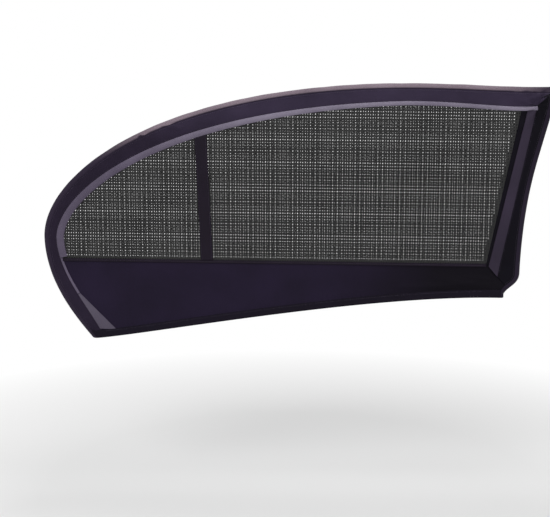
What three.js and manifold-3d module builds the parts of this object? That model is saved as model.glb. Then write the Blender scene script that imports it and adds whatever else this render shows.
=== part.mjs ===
// Car side window sunshade: a sewn mesh sock that is pulled down over the window frame of a rear door.
// Millimetres. +X runs along the shade to its pointed corner, -Y is the cabin side, +Z is up.
// Every curve is drawn as [x, z] in the plane of the window, and depth along Y is added afterwards.
import * as THREE from 'three';
import { mergeVertices } from 'three/addons/utils/BufferGeometryUtils.js';
import Module from 'manifold-3d';

const wasm = await Module();
wasm.setup();

// Outer outline, clockwise from the lower left: turning points and the reach of the curves at each
const HEEL = [-396, 0];
const HEEL_REACH = [-52.8, 60];
const BELLY = [-491.5, 200];
const BELLY_REACH_DOWN = 75;
const BELLY_REACH_UP = 115;
const CROWN = [205, 493];
const CROWN_REACH_LEFT = 484;
const CROWN_REACH_RIGHT = 110;
const PEAK = [490, 487];
const PEAK_REACH_LEFT = [-60, -5];
const PEAK_REACH_DOWN = [-20, -120];
const TOE = [429, 130];
const TOE_REACH_UP = [5.5, 194];
const TOE_REACH_DOWN = [-2, -22];
const CUFF = [399, 91];
const CUFF_REACH_UP = [8, 14];

// Hem: its lower edge from the left end to the right end, its casing and the elastic inside
const HEM_LEFT = [-393, 4.7];
const HEM_LEFT_REACH = [98.5, 6.4];
const HEM_RIGHT = [399, 84.6];
const HEM_RIGHT_REACH = [-258.8, 7.8];
const HEM_WIDTH = 15;
const HEM_RISE = 2.2;
const HEM_SINK = 1.4;
const HEM_CLOTH = 0.8;
const ELASTIC_WIDTH = 10;
const ELASTIC_THICKNESS = 1.2;

// Pocket between the cabin wall and the street wall
const POCKET_DEPTH = 34;
const FLARE_CABIN = 0.12;
const FLARE_STREET = 0.06;
const CLOTH = 1;
const SEAM = 0.3;
const EDGE_RADIUS = 11;
const PEAK_PINCH = 0.6;
const PEAK_PINCH_RADIUS = 46;

// Border band: width from the outer outline to the trim at each turning point
const BAND_HEEL = 24.5;
const BAND_CALF = 39;
const BAND_BELLY = 26;
const BAND_SHOULDER = 30;
const BAND_BROW = 44.5;
const BAND_CROWN = 33.5;
const CORNER_SETBACK = 39;
const CORNER_DROP = 37;
const SIDE_BAND_FOOT = 39.5;

// Tapes sewn on the cabin side
const TAPE_CLOTH = 0.8;
const TRIM_WIDTH_LEFT = 14.5;
const TRIM_WIDTH_RIGHT = 8;
const TRIM_RISE = 2.4;
const SIDE_TRIM_WIDTH_TOP = 16.5;
const SIDE_TRIM_WIDTH_FOOT = 21;
const REVEAL_TOP = 11.5;
const REVEAL_FOOT = 5.4;
const STRIP_WIDTH = 4.5;
const LAP = 2;
const PATCH_APEX_HEIGHT = 90;
const PATCH_FOOT_WIDTH = 34;
const DIAGONAL_END = [7, 8];
const STRAP_WIDTH = 23;
const STRAP_TOP_X = -188;
const STRAP_FOOT_X = -174.5;

// Belt line, where the mesh window ends and the plain skirt begins
const BELT_LEFT = [-450, 159];
const BELT_RIGHT = [363, 150];
const BELT_TAPE_WIDTH = 6;

// Mesh window: raised cords, and slanted slots through the lands between them
const CORD_PITCH = 14;
const CORD_WIDTH = 5;
const CORD_RISE = 0.8;
const CORDS_PER_SLOT = 3;
const SLOT_WIDTH = 7;
const SLOT_HEIGHT = 24;
const SLOT_SLANT = 1.5;
const SLOT_PITCH = 38;
const SLOT_MARGIN = 5;

// Soft folds of the cabin side: from one point to another, with half width and height
const FOLDS = [
  { from: [-318, 407], to: [-281, 388], halfWidth: 4, height: 2.2 },
  { from: [-262, 414], to: [-214, 408], halfWidth: 4, height: 2 },
  { from: [456, 454], to: [480, 478], halfWidth: 4, height: 2.4 },
  { from: [424, 459], to: [470, 474], halfWidth: 4, height: 2 },
  { from: [385, 108], to: [255, 122], halfWidth: 8, height: 3.5 },
  { from: [382, 119], to: [310, 127], halfWidth: 4, height: 2 },
  { from: [352, 111], to: [170, 104], halfWidth: 6, height: 2.5 },
];

const COLORS = {
  band: 0x302740,
  street: 0x2a2433,
  gusset: 0x5a515f,
  trim: 0x5f576a,
  sideTrim: 0x322a3c,
  patch: 0x504a58,
  skirt: 0x241e2d,
  hem: 0x1d1626,
  strap: 0x241b2b,
  mesh: 0x464646,
  elastic: 0x15121a,
};

const HALF = POCKET_DEPTH / 2;
const RUN_OUT = 40;
const FAR = 1500;
const CABIN = -1;
const STREET = 1;

const { lerp, clamp } = THREE.MathUtils;
const point = ([x, z]) => new THREE.Vector2(x, z);
const shifted = ([x, z], [dx, dz]) => new THREE.Vector2(x + dx, z + dz);
const between = (a, b, f) => a.clone().lerp(b, f);
const along = (p, direction, distance) => p.clone().addScaledVector(direction, distance);
const rightOf = (direction) => new THREE.Vector2(direction.y, -direction.x);
const steps = (count) => Array.from({ length: count + 1 }, (_, i) => i / count);

// Curves of the outline and the hem

function curve(from, fromReach, to, toReach) {
  return new THREE.CubicBezierCurve(point(from), shifted(from, fromReach), shifted(to, toReach), point(to));
}

const leftCurve = curve(HEEL, HEEL_REACH, BELLY, [0, -BELLY_REACH_DOWN]);
const topCurve = curve(BELLY, [0, BELLY_REACH_UP], CROWN, [-CROWN_REACH_LEFT, 0]);
const crownCurve = curve(CROWN, [CROWN_REACH_RIGHT, 0], PEAK, PEAK_REACH_LEFT);
const sideCurve = curve(PEAK, PEAK_REACH_DOWN, TOE, TOE_REACH_UP);
const toeCurve = curve(TOE, TOE_REACH_DOWN, CUFF, CUFF_REACH_UP);
const hemCurve = curve(HEM_LEFT, HEM_LEFT_REACH, HEM_RIGHT, HEM_RIGHT_REACH);
const trimCorner = shifted(PEAK, [-CORNER_SETBACK, -CORNER_DROP]);
const trimCrownCurve = curve(
  [CROWN[0], CROWN[1] - BAND_CROWN], [CROWN_REACH_RIGHT, 0], trimCorner.toArray(), PEAK_REACH_LEFT);

function cubicValue([a, b, c, d], t) {
  const s = 1 - t;
  return s * s * s * a + 3 * s * s * t * b + 3 * s * t * t * c + t * t * t * d;
}

function beltHeight(x) {
  return lerp(BELT_LEFT[1], BELT_RIGHT[1], (x - BELT_LEFT[0]) / (BELT_RIGHT[0] - BELT_LEFT[0]));
}

// Straight right side: the outer edge of its trim and the edge of the mesh window, by height

const sideFraction = (z) => (trimCorner.y - z) / (trimCorner.y - BELT_RIGHT[1]);
const sideTrimX = (z) => lerp(trimCorner.x, TOE[0] - SIDE_BAND_FOOT, sideFraction(z));
const sideTrimWidth = (z) => lerp(SIDE_TRIM_WIDTH_TOP, SIDE_TRIM_WIDTH_FOOT, sideFraction(z));
const revealWidth = (z) => lerp(REVEAL_TOP, REVEAL_FOOT, sideFraction(z));
const windowEdgeX = (z) => sideTrimX(z) - sideTrimWidth(z) - revealWidth(z);
const windowFoot = new THREE.Vector2(windowEdgeX(BELT_RIGHT[1]), BELT_RIGHT[1]);
const windowTop = new THREE.Vector2(windowEdgeX(trimCorner.y - LAP), trimCorner.y - LAP);

// Depth of the sock. Side is the cabin or the street wall, and lift is measured outwards from its face

function foldHeight(x, z) {
  return FOLDS.reduce((sum, fold) => {
    const run = point(fold.to).sub(point(fold.from));
    const offset = new THREE.Vector2(x, z).sub(point(fold.from));
    const f = clamp(offset.dot(run) / run.lengthSq(), 0, 1);
    const across = offset.cross(run) / run.length() / fold.halfWidth;
    return sum + fold.height * Math.sin(Math.PI * f) * Math.exp(-across * across);
  }, 0);
}

function wallDepth(side, x, z) {
  const near = 1 - Math.min(1, Math.hypot(x - PEAK[0], z - PEAK[1]) / PEAK_PINCH_RADIUS);
  const pinch = PEAK_PINCH * near * near * (3 - 2 * near);
  const flare = (side === CABIN ? FLARE_CABIN : FLARE_STREET) * Math.max(0, beltHeight(x) - LAP - z);
  const fold = side === CABIN ? foldHeight(x, z) : 0;
  return HALF * (1 - pinch) + flare + fold;
}

const onWall = (side, p, lift) => new THREE.Vector3(p.x, side * (wallDepth(side, p.x, p.y) + lift), p.y);

// Stations along the outline: outer point, inward direction, outer edge of the trim and its direction

function stationsOn(path, from, to, count, bandWidth) {
  return steps(count).map((f) => {
    const t = lerp(from, to, f);
    const outer = path.getPoint(t);
    const tangent = path.getTangent(t);
    const inward = rightOf(tangent);
    const inner = along(outer, inward, bandWidth(t));
    return { t, outer, tangent, inward, inner, trimInward: inward, under: along(inner, inward, LAP) };
  });
}

const leftBandWidth = (t) => cubicValue([BAND_HEEL, BAND_CALF, BAND_BELLY, BAND_BELLY], t);
const topBandWidth = (t) => cubicValue([BAND_BELLY, BAND_SHOULDER, BAND_BROW, BAND_CROWN], t);

// The place on the left curve where a point that belongs to it reaches a height, found by halving
function leftPlaceAt(height, pointAt) {
  let low = 0;
  let high = 1;
  for (let i = 0; i < 40; i += 1) {
    const middle = (low + high) / 2;
    if (pointAt(middle).y < height) low = middle;
    else high = middle;
  }
  return low;
}

const leftInner = (t) => along(leftCurve.getPoint(t), rightOf(leftCurve.getTangent(t)), leftBandWidth(t));
const beltPlace = leftPlaceAt(BELT_LEFT[1], leftInner);
const apexPlace = leftPlaceAt(PATCH_APEX_HEIGHT, leftInner);

function movedStation(station, distance) {
  const move = (p) => along(p, station.tangent, distance);
  return {
    ...station,
    outer: move(station.outer),
    inner: move(station.inner),
    under: move(station.under),
  };
}

function crownStations(count) {
  return stationsOn(crownCurve, 0, 1, count, () => BAND_CROWN).map((station) => {
    const inner = trimCrownCurve.getPoint(station.t);
    const trimInward = rightOf(trimCrownCurve.getTangent(station.t));
    return { ...station, inner, trimInward, under: along(inner, trimInward, LAP) };
  });
}

// The mitre at the pointed corner, shared by the top and the side
function cornerStation(tangent, under) {
  const fromTop = rightOf(crownCurve.getTangent(1));
  const fromSide = rightOf(sideCurve.getTangent(0));
  const mitre = fromTop.clone().add(fromSide).divideScalar(1 + fromTop.dot(fromSide));
  return { outer: point(PEAK), tangent, inward: mitre, inner: trimCorner, under };
}

function sideStations() {
  const place = (station, f) => {
    const innerZ = lerp(trimCorner.y, BELT_RIGHT[1], f);
    const underZ = lerp(windowTop.y, BELT_RIGHT[1], f);
    return {
      ...station,
      inner: new THREE.Vector2(sideTrimX(innerZ), innerZ),
      under: new THREE.Vector2(windowEdgeX(underZ), underZ),
    };
  };
  const upper = stationsOn(sideCurve, 0, 1, 11, () => 0).map((station) => place(station, station.t));
  const toeFraction = (TOE[1] - CUFF[1]) / (trimCorner.y - BELT_RIGHT[1]);
  const lower = stationsOn(toeCurve, 0, 1, 4, () => 0)
    .map((station) => place(station, 1 + toeFraction * station.t));
  const corner = cornerStation(sideCurve.getTangent(0), windowTop);
  const down = new THREE.Vector2(0, -1);
  const last = { ...lower.at(-1), tangent: down };
  return [movedStation(corner, SEAM), ...upper.slice(1), ...lower.slice(1), movedStation(last, RUN_OUT)];
}

const leftLower = stationsOn(leftCurve, 0, beltPlace, 6, leftBandWidth);
const leftUpper = stationsOn(leftCurve, beltPlace, 1, 2, leftBandWidth);
const topRun = stationsOn(topCurve, 0, 1, 22, topBandWidth);
const crownRun = crownStations(9);
const trimRun = [...leftUpper, ...topRun.slice(1), ...crownRun.slice(1)];
const topPath = [
  movedStation(leftLower[0], -RUN_OUT),
  ...leftLower,
  ...trimRun.slice(1, -1),
  movedStation(cornerStation(crownCurve.getTangent(1), crownRun.at(-1).under), -SEAM),
];
const sidePath = sideStations();
const trimWidthAt = (x) => {
  const f = clamp((x - BELLY[0]) / (CROWN[0] - BELLY[0]), 0, 1);
  return lerp(TRIM_WIDTH_LEFT, TRIM_WIDTH_RIGHT, f);
};

// Closed solids

function signedVolume(positions, indices) {
  const corner = (i) => new THREE.Vector3().fromArray(positions, 3 * i);
  let sum = 0;
  for (let i = 0; i < indices.length; i += 3) {
    const [a, b, c] = [corner(indices[i]), corner(indices[i + 1]), corner(indices[i + 2])];
    sum += a.dot(b.cross(c));
  }
  return sum;
}

// Joins rings of equal point count into one body. Caps are the triangles that close a ring, in its order
function closedLoft(rings, caps) {
  const count = rings[0].length;
  const positions = rings.flatMap((ring) => ring.flatMap((p) => p.toArray()));
  const indices = [];
  for (let s = 0; s < rings.length - 1; s += 1) {
    for (let i = 0; i < count; i += 1) {
      const a = s * count + i;
      const b = s * count + (i + 1) % count;
      indices.push(a, b, b + count, a, b + count, a + count);
    }
  }
  const last = (rings.length - 1) * count;
  caps.forEach(([a, b, c]) => indices.push(a, c, b, last + a, last + b, last + c));
  if (signedVolume(positions, indices) < 0) indices.reverse();
  const geometry = new THREE.BufferGeometry();
  geometry.setAttribute('position', new THREE.Float32BufferAttribute(positions, 3));
  geometry.setIndex(indices);
  return geometry;
}

function outlineCaps(outline) {
  if (THREE.ShapeUtils.area(outline) > 0) return THREE.ShapeUtils.triangulateShape(outline, []);
  const last = outline.length - 1;
  return THREE.ShapeUtils.triangulateShape([...outline].reverse(), [])
    .map(([a, b, c]) => [last - a, last - c, last - b]);
}

function toSolid(source) {
  const bare = source.clone();
  bare.deleteAttribute('normal');
  bare.deleteAttribute('uv');
  const merged = mergeVertices(bare, 1e-4);
  return new wasm.Manifold(new wasm.Mesh({
    numProp: 3,
    vertProperties: Float32Array.from(merged.attributes.position.array),
    triVerts: Uint32Array.from(merged.index.array),
  }));
}

function toGeometry(solid) {
  const { vertProperties, triVerts } = solid.getMesh();
  const geometry = new THREE.BufferGeometry();
  geometry.setAttribute('position', new THREE.BufferAttribute(vertProperties, 3));
  geometry.setIndex(new THREE.BufferAttribute(triVerts, 1));
  return geometry;
}

// A prism through the whole depth over one or more outlines, or between two depths
function prism(outlines, nearY = -FAR, farY = FAR) {
  const geometry = new THREE.ExtrudeGeometry(outlines.map((outline) => new THREE.Shape(outline)), {
    depth: farY - nearY,
    bevelEnabled: false,
  });
  geometry.rotateX(Math.PI / 2);
  geometry.translate(0, farY, 0);
  return toSolid(geometry);
}

// A sheet of cloth between two lifts over rows and columns of points, where a column runs from edge to edge
function sheet(side, columns, liftLow, liftHigh) {
  const rings = columns.map((column) => [
    ...column.map((p) => onWall(side, p, liftHigh)),
    ...column.map((p) => onWall(side, p, liftLow)).reverse(),
  ]);
  const last = rings[0].length - 1;
  const caps = columns[0].slice(1).flatMap((_, i) => [[i, i + 1, last - i - 1], [i, last - i - 1, last - i]]);
  return closedLoft(rings, caps);
}

// Regions of the window plane that the pieces are cut to

const hemPoints = steps(18).map((t) => hemCurve.getPoint(t));

function aboveHem(lift) {
  const ends = [new THREE.Vector2(-FAR, hemPoints[0].y), ...hemPoints, new THREE.Vector2(FAR, HEM_RIGHT[1])];
  const edge = ends.map((p) => new THREE.Vector2(p.x, p.y + lift));
  return prism([[...edge, new THREE.Vector2(FAR, FAR), new THREE.Vector2(-FAR, FAR)]]);
}

// Above the belt line when side is 1 and below it when side is -1
function besideBelt(lift, side) {
  const [left, right] = [-FAR, FAR].map((x) => new THREE.Vector2(x, beltHeight(x) + lift));
  return prism([[left, right, new THREE.Vector2(FAR, side * FAR), new THREE.Vector2(-FAR, side * FAR)]]);
}

const seamPoint = (station, extra = 0) => along(station.outer, station.inward, EDGE_RADIUS + SEAM + extra);

function insideSeam(extra) {
  return prism([[...topPath.slice(0, -1), ...sidePath.slice(1)].map((station) => seamPoint(station, extra))]);
}

function leftOfDiagonal(gap) {
  const end = shifted(CUFF, DIAGONAL_END);
  const direction = end.clone().sub(windowFoot).normalize();
  const start = along(windowFoot, rightOf(direction), gap);
  const ends = [along(start, direction, -FAR), along(start, direction, FAR)];
  return prism([[...ends, ...ends.map((p) => along(p, rightOf(direction), FAR)).reverse()]]);
}

// Right of the left edge of the skirt, at a distance inwards from the outer edge of the strip
function rightOfStrip(distance) {
  const edge = [topPath[0], ...leftLower, ...leftUpper].map((s) => along(s.inner, s.inward, distance));
  return prism([[...edge, new THREE.Vector2(FAR, edge.at(-1).y), new THREE.Vector2(FAR, edge[0].y)]]);
}

// Left of the trim's end, above a line that follows its outer edge at a distance
function besideTrimEnd(distance) {
  const edge = crownRun.map((s) => along(s.inner, s.trimInward, distance));
  const right = new THREE.Vector2(trimCorner.x, edge.at(-1).y);
  return prism([[...edge, right, new THREE.Vector2(right.x, FAR), new THREE.Vector2(edge[0].x, FAR)]]);
}

function windowOutline(offset, edgeGap) {
  const rim = [...leftLower.slice(-3), ...trimRun.slice(1)]
    .map((s) => along(s.inner, s.trimInward, offset(s)))
    .filter((p) => p.x < windowEdgeX(p.y) - edgeGap);
  const rightEdge = [rim.at(-1).y, rim[0].y].map((z) => new THREE.Vector2(windowEdgeX(z) - edgeGap, z));
  return [...rim, ...rightEdge];
}

const hiddenWindow = windowOutline(() => LAP + SEAM, SEAM);
const openWindow = windowOutline((s) => trimWidthAt(s.outer.x) + SEAM, SEAM);
const openRegion = prism([openWindow]).intersect(besideBelt(SEAM, 1));

// Border bands and the gusset over the edge

function bandColumns(path, sideSpans) {
  return path.map((station) => [
    ...steps(sideSpans).map((f) => between(seamPoint(station), station.inner, f)),
    station.under,
  ]);
}

function borderBand(side, sideSpans) {
  const band = toSolid(sheet(side, bandColumns(topPath, sideSpans), -CLOTH, 0));
  return toGeometry(band.intersect(aboveHem(HEM_WIDTH + SEAM)));
}

function sideBand(side, sideSpans) {
  const band = toSolid(sheet(side, bandColumns(sidePath, sideSpans), -CLOTH, 0));
  return toGeometry(band.subtract(leftOfDiagonal(0)).subtract(besideTrimEnd(LAP + SEAM)));
}

function gussetProfile() {
  const rim = (radius, turn) => steps(4).map((f) => {
    const angle = (Math.PI / 2) * (turn === CABIN ? f : 1 - f);
    return new THREE.Vector2(
      EDGE_RADIUS - radius * Math.sin(angle),
      turn * (HALF - EDGE_RADIUS + radius * Math.cos(angle)));
  });
  const outside = [...rim(EDGE_RADIUS, CABIN), ...rim(EDGE_RADIUS, STREET)];
  const inside = [...rim(EDGE_RADIUS - CLOTH, CABIN), ...rim(EDGE_RADIUS - CLOTH, STREET)];
  return [...outside, ...inside.reverse()];
}

function edgeGusset(path) {
  const profile = gussetProfile();
  const rings = path.map((station) => profile.map(({ x: inset, y: depth }) => {
    const p = along(station.outer, station.inward, inset);
    const side = depth < 0 ? CABIN : STREET;
    return new THREE.Vector3(p.x, (depth / HALF) * wallDepth(side, p.x, p.y), p.y);
  }));
  return toGeometry(toSolid(closedLoft(rings, outlineCaps(profile))).intersect(aboveHem(0)));
}

// Mesh window

function cordedSlab(side) {
  const face = [];
  const half = CORD_WIDTH / 2;
  for (let x = BELLY[0]; x < PEAK[0]; x += CORD_PITCH) {
    face.push([x - half, 0], [x, CORD_RISE], [x + half, 0]);
  }
  const outline = [...face, [PEAK[0] + CORD_PITCH, 0], [PEAK[0] + CORD_PITCH, -CLOTH], [face[0][0], -CLOTH]];
  const shape = new THREE.Shape(outline.map(([x, lift]) => new THREE.Vector2(x, side * (HALF + lift))));
  return toSolid(new THREE.ExtrudeGeometry(shape, { depth: CROWN[1], bevelEnabled: false }));
}

function distanceToEdge(p, a, b) {
  const run = b.clone().sub(a);
  const f = clamp(p.clone().sub(a).dot(run) / run.lengthSq(), 0, 1);
  return p.distanceTo(along(a, run, f));
}

function isWellInside(p, outline, margin) {
  let inside = false;
  let nearest = Infinity;
  outline.forEach((a, i) => {
    const b = outline[(i + 1) % outline.length];
    const crosses = (a.y > p.y) !== (b.y > p.y);
    if (crosses && p.x < a.x + ((p.y - a.y) / (b.y - a.y)) * (b.x - a.x)) inside = !inside;
    nearest = Math.min(nearest, distanceToEdge(p, a, b));
  });
  return inside && nearest > margin;
}

function slotOutlines() {
  const slots = [];
  const firstX = BELLY[0] + CORD_PITCH * 1.5;
  for (let x = firstX; x < PEAK[0]; x += CORD_PITCH * CORDS_PER_SLOT) {
    for (let z = beltHeight(x) + SLOT_PITCH / 2; z < CROWN[1]; z += SLOT_PITCH) {
      const corner = (right, up) => new THREE.Vector2(
        x + (right * SLOT_WIDTH) / 2 + (up * SLOT_SLANT) / 2,
        z + (up * SLOT_HEIGHT) / 2);
      slots.push([corner(-1, -1), corner(1, -1), corner(1, 1), corner(-1, 1)]);
    }
  }
  return slots.filter((slot) => slot.every((p) => isWellInside(p, openWindow, SLOT_MARGIN)));
}

function cabinMesh() {
  const slab = prism([hiddenWindow], -HALF, -HALF + CLOTH).intersect(besideBelt(-LAP, 1));
  const corded = cordedSlab(CABIN).intersect(openRegion);
  return toGeometry(slab.add(corded).subtract(prism(slotOutlines())));
}

function streetMesh() {
  const slab = prism([hiddenWindow], HALF - CLOTH, HALF).intersect(besideBelt(-LAP, 1));
  return toGeometry(slab.add(cordedSlab(STREET).intersect(openRegion)));
}

// Skirt and hem

function skirt(side, columnCount, rowCount) {
  const columns = steps(columnCount).map((u) => {
    const x = lerp(BELLY[0] - RUN_OUT, PEAK[0], u);
    const below = steps(rowCount).map((v) => lerp(beltHeight(x) - BELT_TAPE_WIDTH - LAP, -RUN_OUT, v));
    return [beltHeight(x) - LAP, ...below].map((z) => new THREE.Vector2(x, z));
  });
  const cloth = toSolid(sheet(side, columns, -CLOTH, 0))
    .intersect(besideBelt(-LAP - SEAM, -1))
    .intersect(aboveHem(HEM_WIDTH + SEAM))
    .intersect(rightOfStrip(LAP + SEAM))
    .intersect(leftOfDiagonal(SEAM))
    .intersect(insideSeam(0));
  return toGeometry(cloth);
}

// A bar that follows the hem, over a range of heights above its lower edge and of lifts, with cut corners
function hemBar(side, low, high, liftLow, liftHigh, chamfer, overrun) {
  const before = new THREE.Vector2(HEM_LEFT[0] - overrun, HEM_LEFT[1]);
  const after = new THREE.Vector2(HEM_RIGHT[0] + overrun, HEM_RIGHT[1]);
  const outline = [
    [low + chamfer, liftLow], [high - chamfer, liftLow], [high, liftLow + chamfer], [high, liftHigh - chamfer],
    [high - chamfer, liftHigh], [low + chamfer, liftHigh], [low, liftHigh - chamfer], [low, liftLow + chamfer],
  ];
  const rings = [before, ...hemPoints, after].map((p) => outline.map(([up, lift]) => (
    onWall(side, new THREE.Vector2(p.x, p.y + up), lift))));
  return toSolid(closedLoft(rings, outlineCaps(outline.map(point))));
}

function hemCasing(side) {
  const hollow = [HEM_CLOTH, HEM_WIDTH - HEM_CLOTH, -HEM_SINK + HEM_CLOTH, HEM_RISE - HEM_CLOTH];
  const tube = hemBar(side, 0, HEM_WIDTH, -HEM_SINK, HEM_RISE, HEM_CLOTH, RUN_OUT)
    .subtract(hemBar(side, ...hollow, HEM_CLOTH / 4, RUN_OUT * 2));
  return toGeometry(tube.intersect(insideSeam(0)));
}

function hemElastic(side) {
  const low = (HEM_WIDTH - ELASTIC_WIDTH) / 2;
  const middle = (HEM_RISE - HEM_SINK) / 2;
  const lifts = [middle - ELASTIC_THICKNESS / 2, middle + ELASTIC_THICKNESS / 2];
  const bar = hemBar(side, low, low + ELASTIC_WIDTH, ...lifts, ELASTIC_THICKNESS / 4, RUN_OUT);
  return toGeometry(bar.intersect(insideSeam(HEM_CLOTH)));
}

// Tapes, strap and patch on the cabin side

// Half-round tape across a run of places, each with its outer edge, direction and width
function roundedTape(places, rise) {
  const profile = steps(6).map((f) => [f, TAPE_CLOTH + (rise - TAPE_CLOTH) * Math.sin(Math.PI * f)]);
  const outline = [[0, 0], ...profile, [1, 0]];
  const rings = places.map(({ edge, inward, width }) => outline.map(([f, lift]) => (
    onWall(CABIN, along(edge, inward, f * width), SEAM + lift))));
  return closedLoft(rings, outlineCaps(outline.map(point)));
}

function trimTape() {
  const places = trimRun.map((s) => ({
    edge: s.inner,
    inward: s.trimInward,
    width: trimWidthAt(s.outer.x),
  }));
  return roundedTape(places, TRIM_RISE);
}

function sideTrimTape() {
  const places = [trimCorner.y, CUFF[1]].map((z) => ({
    edge: new THREE.Vector2(sideTrimX(z), z),
    inward: new THREE.Vector2(-1, 0),
    width: sideTrimWidth(z),
  }));
  const tape = toSolid(roundedTape(places, TRIM_RISE));
  return toGeometry(tape
    .subtract(leftOfDiagonal(-SEAM))
    .subtract(besideTrimEnd(TRIM_WIDTH_RIGHT + SEAM)));
}

function lowerStrip() {
  const run = stationsOn(leftCurve, apexPlace, beltPlace, 4, leftBandWidth);
  const ends = [movedStation(run[0], SEAM), ...run.slice(1, -1), movedStation(run.at(-1), -SEAM)];
  const columns = ends.map((s) => [s.inner, along(s.inner, s.inward, STRIP_WIDTH)]);
  return sheet(CABIN, columns, SEAM, SEAM + TAPE_CLOTH);
}

function cornerPatch() {
  const run = [topPath[0], ...stationsOn(leftCurve, 0, apexPlace, 5, leftBandWidth)];
  const foot = along(leftInner(0), new THREE.Vector2(1, 0), PATCH_FOOT_WIDTH);
  const apex = along(run.at(-1).inner, run.at(-1).inward, STRIP_WIDTH);
  const slope = foot.clone().sub(apex).normalize();
  const columns = run.map((s, i) => [s.inner, along(apex, slope, apex.distanceTo(foot) * (1 - (i - 1) / 5))]);
  const cloth = toSolid(sheet(CABIN, columns, SEAM, SEAM + TAPE_CLOTH));
  return toGeometry(cloth.intersect(aboveHem(HEM_WIDTH + HEM_RISE)));
}

function beltTape() {
  const columns = [BELLY[0], PEAK[0]].map((x) => [
    new THREE.Vector2(x, beltHeight(x) - SEAM),
    new THREE.Vector2(x, beltHeight(x) - BELT_TAPE_WIDTH),
  ]);
  const tape = toSolid(sheet(CABIN, columns, SEAM, SEAM + TAPE_CLOTH));
  return toGeometry(tape.intersect(rightOfStrip(STRIP_WIDTH + SEAM)).intersect(leftOfDiagonal(SEAM)));
}

function dividerStrap() {
  const middleAt = (z) => {
    const f = (z - beltHeight(STRAP_FOOT_X)) / (CROWN[1] - BAND_CROWN - beltHeight(STRAP_FOOT_X));
    return lerp(STRAP_FOOT_X, STRAP_TOP_X, f);
  };
  const corner = (side, z) => new THREE.Vector2(middleAt(z) + (side * STRAP_WIDTH) / 2, z);
  const outline = [corner(-1, 0), corner(1, 0), corner(1, CROWN[1]), corner(-1, CROWN[1])];
  const under = -HALF - CORD_RISE - SEAM;
  return toGeometry(prism([outline], under - TAPE_CLOTH, under).intersect(openRegion));
}

// Assembly

const sunshade = new THREE.Group();

function add(name, geometry, color, roughness = 0.9) {
  const material = new THREE.MeshStandardMaterial({ color, roughness, metalness: 0 });
  const mesh = new THREE.Mesh(geometry, material);
  mesh.name = name;
  sunshade.add(mesh);
}

add('front_border_band', borderBand(CABIN, 4), COLORS.band);
add('front_side_band', sideBand(CABIN, 4), COLORS.band);
add('back_border_band', borderBand(STREET, 2), COLORS.street);
add('back_side_band', sideBand(STREET, 2), COLORS.street);
add('edge_gusset_top', edgeGusset(topPath), COLORS.gusset);
add('edge_gusset_side', edgeGusset(sidePath), COLORS.gusset);
add('front_mesh_panel', cabinMesh(), COLORS.mesh);
add('back_mesh_panel', streetMesh(), COLORS.mesh);
add('front_skirt', skirt(CABIN, 36, 9), COLORS.skirt);
add('back_skirt', skirt(STREET, 1, 1), COLORS.skirt);
add('front_hem_casing', hemCasing(CABIN), COLORS.hem);
add('back_hem_casing', hemCasing(STREET), COLORS.hem);
add('front_hem_elastic', hemElastic(CABIN), COLORS.elastic);
add('back_hem_elastic', hemElastic(STREET), COLORS.elastic);
add('trim_tape', trimTape(), COLORS.trim, 0.6);
add('side_trim_tape', sideTrimTape(), COLORS.sideTrim, 0.6);
add('lower_trim_strip', lowerStrip(), COLORS.trim, 0.6);
add('lower_corner_patch', cornerPatch(), COLORS.patch);
add('belt_seam_tape', beltTape(), COLORS.strap);
add('divider_strap', dividerStrap(), COLORS.strap);

// The origin is below the middle of the whole shade, at its lowest point
const box = new THREE.Box3().setFromObject(sunshade);
const centre = box.getCenter(new THREE.Vector3());
sunshade.position.set(-centre.x, -centre.y, -box.min.z);

export default sunshade;
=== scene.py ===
# Car side window sunshade: a sewn mesh sock that is pulled down over the window frame of a rear door.
# Metres. +X runs along the shade to its pointed corner, -Y is the cabin side, +Z is up.
# Curves are drawn as (x, z) in the plane of the window, before the shift into the frame.
import math

import bpy
import numpy as np
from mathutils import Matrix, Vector


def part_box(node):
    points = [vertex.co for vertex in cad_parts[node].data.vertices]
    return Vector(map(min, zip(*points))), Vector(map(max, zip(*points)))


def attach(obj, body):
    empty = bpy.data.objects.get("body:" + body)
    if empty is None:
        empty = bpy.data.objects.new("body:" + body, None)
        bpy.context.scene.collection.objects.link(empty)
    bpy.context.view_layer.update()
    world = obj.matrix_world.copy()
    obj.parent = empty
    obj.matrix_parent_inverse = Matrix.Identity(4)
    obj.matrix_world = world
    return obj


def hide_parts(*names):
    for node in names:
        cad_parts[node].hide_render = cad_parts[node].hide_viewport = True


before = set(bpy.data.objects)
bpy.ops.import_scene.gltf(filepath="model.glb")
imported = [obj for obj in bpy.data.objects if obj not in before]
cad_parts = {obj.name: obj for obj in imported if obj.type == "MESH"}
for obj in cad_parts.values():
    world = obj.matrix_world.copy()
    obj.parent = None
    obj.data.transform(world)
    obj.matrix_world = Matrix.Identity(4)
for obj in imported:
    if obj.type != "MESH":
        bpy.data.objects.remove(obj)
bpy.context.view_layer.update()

# The two faces, as directions along Y
CABIN = -1
STREET = 1

# Outer outline: turning points, and how far the curves reach from them
HEEL = (-0.396, 0.0)
HEEL_REACH = (-0.0528, 0.060)
BELLY = (-0.4915, 0.200)
BELLY_REACH_DOWN = (0, -0.075)
BELLY_REACH_UP = (0, 0.115)
CROWN = (0.205, 0.493)
CROWN_REACH_LEFT = (-0.484, 0)
CROWN_REACH_RIGHT = (0.110, 0)
PEAK = (0.490, 0.487)
PEAK_REACH_LEFT = (-0.060, -0.005)
PEAK_REACH_DOWN = (-0.020, -0.120)
TOE = (0.429, 0.130)
TOE_REACH_UP = (0.0055, 0.194)
TOE_REACH_DOWN = (-0.002, -0.022)
CUFF = (0.399, 0.091)
CUFF_REACH_UP = (0.008, 0.014)

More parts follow.
